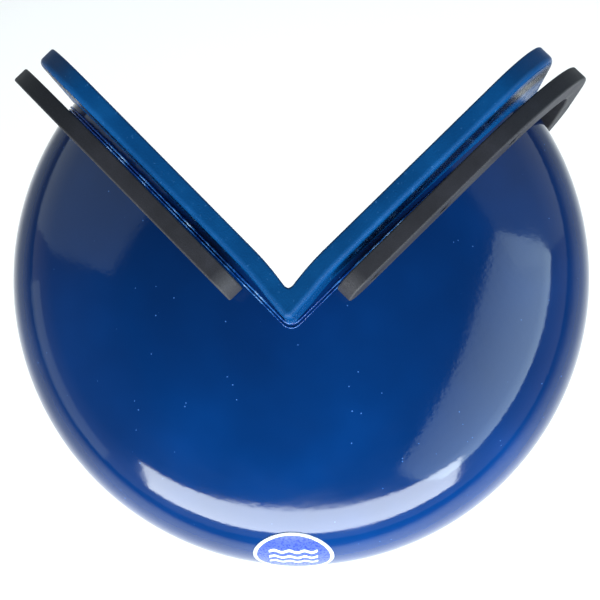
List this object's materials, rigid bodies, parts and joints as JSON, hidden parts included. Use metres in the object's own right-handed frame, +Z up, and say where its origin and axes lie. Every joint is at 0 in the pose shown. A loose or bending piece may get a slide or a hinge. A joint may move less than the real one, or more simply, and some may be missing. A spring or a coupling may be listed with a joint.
{
  "type": "dock corner fender",
  "caption": "Inflated soft-PVC corner fender: a hollow flattened ball on a right-angled mounting flange, with a loose clamp plate around it on each arm and a valve underneath.",
  "frame": {"origin": "on the dock's vertical corner edge, where the two flange pages meet, at half the fender's height", "axes": "+Z up along the dock's corner edge; -X is the outward normal of the right page's dock face and +Y that of the left page's, so the dock fills the quadrant x < 0, y > 0"},
  "size_m": [0.3055, 0.3055, 0.19],
  "materials": {
    "shell_pvc": "glossy soft PVC, deep blue",
    "flange_pvc": "satin soft PVC, blue",
    "plate_plastic": "matt, finely grained",
    "label_film": "printed film",
    "valve_plastic": "moulded, satin",
    "valve_rubber": "moulded rubber"
  },
  "bodies": {
    "fender": {"fender_shell": "shell_pvc", "corner_flange": "flange_pvc", "label": "label_film", "valve_seat": "valve_plastic", "check_umbrella": "valve_rubber"},
    "right_plate": {"clamp_plate_right": "plate_plastic"},
    "left_plate": {"clamp_plate_left": "plate_plastic"},
    "seal": {"plug_seal": "valve_rubber"},
    "plug": {"valve_plug": "valve_plastic"}
  },
  "joints": [
    {"name": "right_plate_slide", "type": "slide", "parent": "fender", "child": "right_plate", "axis": [1, 0, 0], "range_m": [-0.0052, 0.13]},
    {"name": "left_plate_slide", "type": "slide", "parent": "fender", "child": "left_plate", "axis": [0, -1, 0], "range_m": [-0.0052, 0.13]},
    {"name": "plug_lift", "type": "slide", "parent": "fender", "child": "seal", "axis": [0.1946, -0.1946, -0.9614], "range_m": [0, 0.009]},
    {"name": "plug_turn", "type": "hinge", "parent": "seal", "child": "plug", "pos_m": [0.04243, -0.04243, -0.05934], "axis": [0.1946, -0.1946, -0.9614], "range_deg": [0, 1080]}
  ],
  "couplings": [
    {"joint": "plug_turn", "follows": "plug_lift", "rad_per_m": 2094.4}
  ]
}
